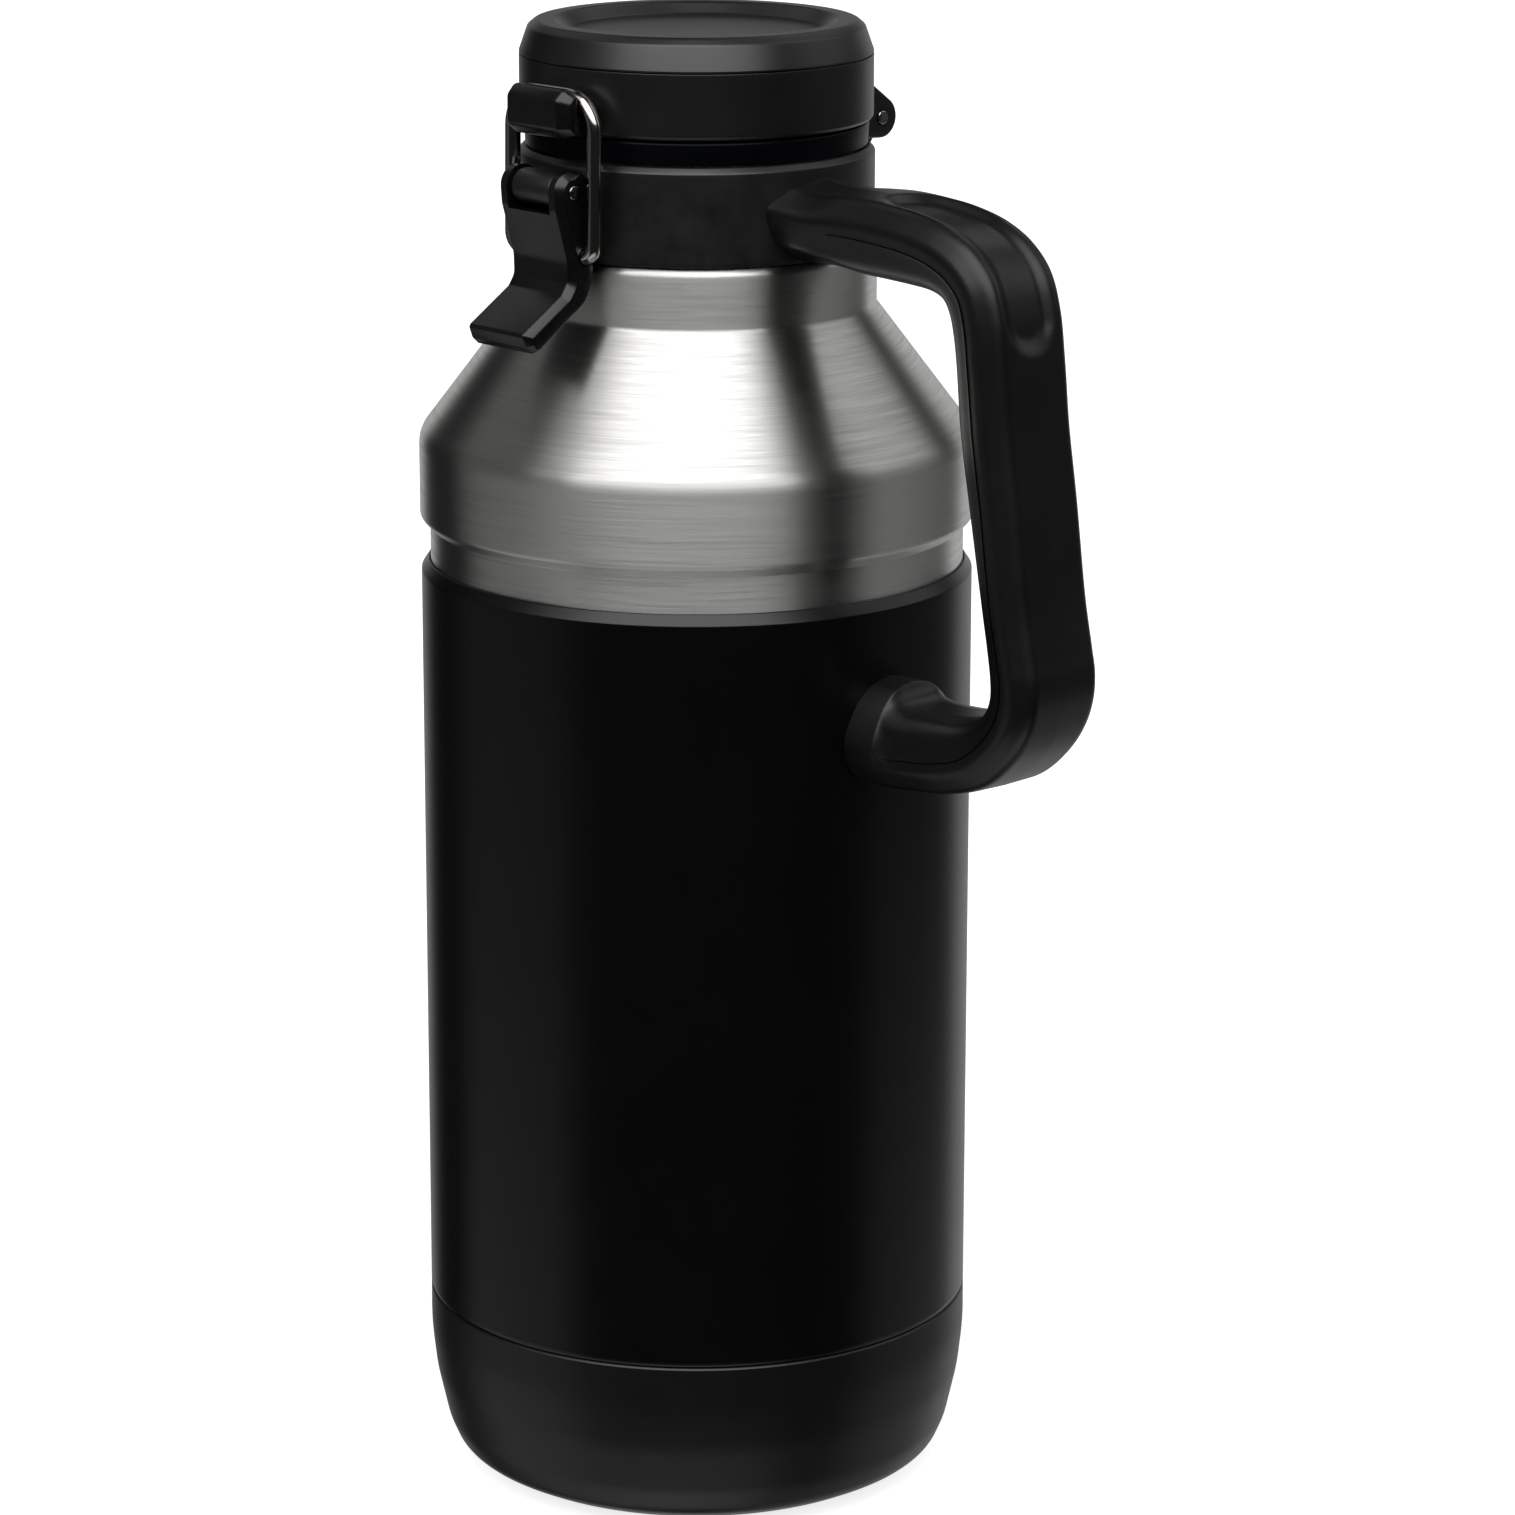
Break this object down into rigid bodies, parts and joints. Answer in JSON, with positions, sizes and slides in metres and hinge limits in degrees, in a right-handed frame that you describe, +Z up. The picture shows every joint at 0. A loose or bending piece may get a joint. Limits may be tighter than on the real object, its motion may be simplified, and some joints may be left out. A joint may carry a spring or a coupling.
{
  "type": "vacuum growler",
  "caption": "Black vacuum growler with a steel shoulder, a hinged lid held by a wire bail latch, and a side handle.",
  "frame": {"origin": "centre of the underside, on the surface the growler stands on", "axes": "+Z up along the bottle's axis; the handle is at +X, the latch at -Y and the lid's hinge at +Y"},
  "size_m": [0.1634, 0.115, 0.31],
  "materials": {
    "steel_brushed": "brushed round the axis",
    "steel_inner": "satin, hidden inside",
    "steel_polished": "polished stainless wire and pins",
    "sleeve": "satin black",
    "boot": "smooth matte black",
    "plastic_black": "fine-textured black",
    "plastic_gloss": "semi-gloss black",
    "silicone": "soft grey silicone",
    "foam": "pale insulating foam, hidden inside"
  },
  "bodies": {
    "bottle": {"outer_shell": "steel_brushed", "inner_liner": "steel_inner", "shell_base": "steel_inner", "vacuum_seal_cap": "steel_inner", "getter_ring": "steel_inner", "base_boot": "boot", "foot_pad": "boot", "body_sleeve": "sleeve", "neck_collar": "plastic_black", "pour_ring": "plastic_gloss", "handle_bracket": "steel_inner", "handle_shell": "plastic_black", "handle_cover": "plastic_black", "handle_screw_upper_left": "steel_polished", "handle_screw_upper_right": "steel_polished", "handle_screw_lower_left": "steel_polished", "handle_screw_lower_right": "steel_polished", "hinge_pin": "steel_polished", "latch_pin": "steel_polished"},
    "lid": {"lid_body": "plastic_black", "lid_cap": "plastic_black", "lid_foam": "foam", "lid_gasket": "silicone", "lid_plug": "plastic_black", "plug_foam": "foam", "latch_catch": "plastic_gloss"},
    "lever": {"latch_lever": "plastic_gloss"},
    "bail": {"bail_wire": "steel_polished"}
  },
  "joints": [
    {"name": "lid_hinge", "type": "hinge", "parent": "bottle", "child": "lid", "pos_m": [0, 0.0452, 0.2862], "axis": [-1, 0, 0], "range_deg": [0, 105]},
    {"name": "latch_lever", "type": "hinge", "parent": "bottle", "child": "lever", "pos_m": [0, -0.042, 0.2796], "axis": [-1, 0, 0], "range_deg": [0, 75]},
    {"name": "bail_pivot", "type": "hinge", "parent": "lever", "child": "bail", "pos_m": [0, -0.0394, 0.2664], "axis": [-1, 0, 0], "range_deg": [-46, 0]}
  ],
  "couplings": [
    {"joint": "bail_pivot", "follows": "latch_lever", "ratio": -0.61}
  ]
}
